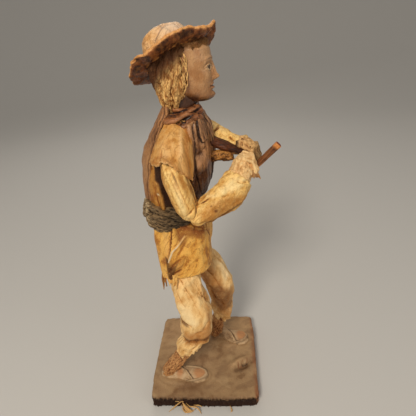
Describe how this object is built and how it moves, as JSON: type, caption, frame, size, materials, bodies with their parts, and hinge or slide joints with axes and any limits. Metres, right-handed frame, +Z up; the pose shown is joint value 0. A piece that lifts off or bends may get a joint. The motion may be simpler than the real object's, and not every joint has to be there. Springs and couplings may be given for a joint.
{
  "type": "papier-mache figure",
  "caption": "Standing folk figure of stiffened paper in a brimmed hat, holding a small instrument and a stick, on a square block.",
  "frame": {"origin": "middle of the square block's flat underside", "axes": "+Z up, +X the way the figure faces, -Y the figure's right side"},
  "size_m": [0.1226, 0.1031, 0.3203],
  "materials": {
    "block_paint": "brown-grey painted block with a worn, rust-brown edge and a dark chipped front",
    "sandal_paste": "pressed paste sandals painted with the block, worn orange at the toes",
    "shin_fibre": "dark rust-brown fibre wrapping, matte",
    "trouser_paper": "pale golden crumpled paper, glue-stiffened, faint sheen",
    "tunic_paper": "orange-ochre stiffened paper with brown shading and glossy creases",
    "sash_paper": "crinkled grey-black paper band with tan high spots",
    "vest_back_paper": "pinkish-brown stiffened paper strip, satin varnish",
    "vest_front_paper": "dark brown stiffened paper, satin varnish",
    "cap_paper": "tan-orange stiffened paper with smooth streaks",
    "sleeve_paper": "cream-gold crumpled paper, glue-stiffened",
    "hand_paper": "crinkled brown paper",
    "fist_paper": "crinkled pale paper",
    "instrument_wood": "dark brown varnish",
    "roll_paper": "curled varnished brown paper",
    "stick_wood": "dark brown stick with worn orange streaks",
    "scarf_paper": "dark maroon-brown folded paper, satin varnish",
    "face_glaze": "brown painted face with a soft glaze",
    "hair_fibre": "golden crinkled fibre",
    "hat_paper": "tan-orange stiffened paper, darker brown under the brim"
  },
  "bodies": {
    "root": {"block": "block_paint", "right_foot": "sandal_paste", "left_foot": "sandal_paste", "right_shin": "shin_fibre", "left_shin": "shin_fibre", "right_trouser_leg": "trouser_paper", "left_trouser_leg": "trouser_paper", "tunic": "tunic_paper", "sash": "sash_paper", "vest_back": "vest_back_paper", "vest_right_front": "vest_front_paper", "vest_left_front": "vest_front_paper", "right_shoulder_cap": "cap_paper", "left_shoulder_cap": "cap_paper", "right_upper_sleeve": "sleeve_paper", "right_forearm_sleeve": "sleeve_paper", "left_sleeve": "sleeve_paper", "left_hand": "hand_paper", "right_hand": "fist_paper", "instrument": "instrument_wood", "paper_roll": "roll_paper", "stick": "stick_wood", "scarf": "scarf_paper", "head": "face_glaze", "hair": "hair_fibre", "hat": "hat_paper"}
  },
  "joints": []
}
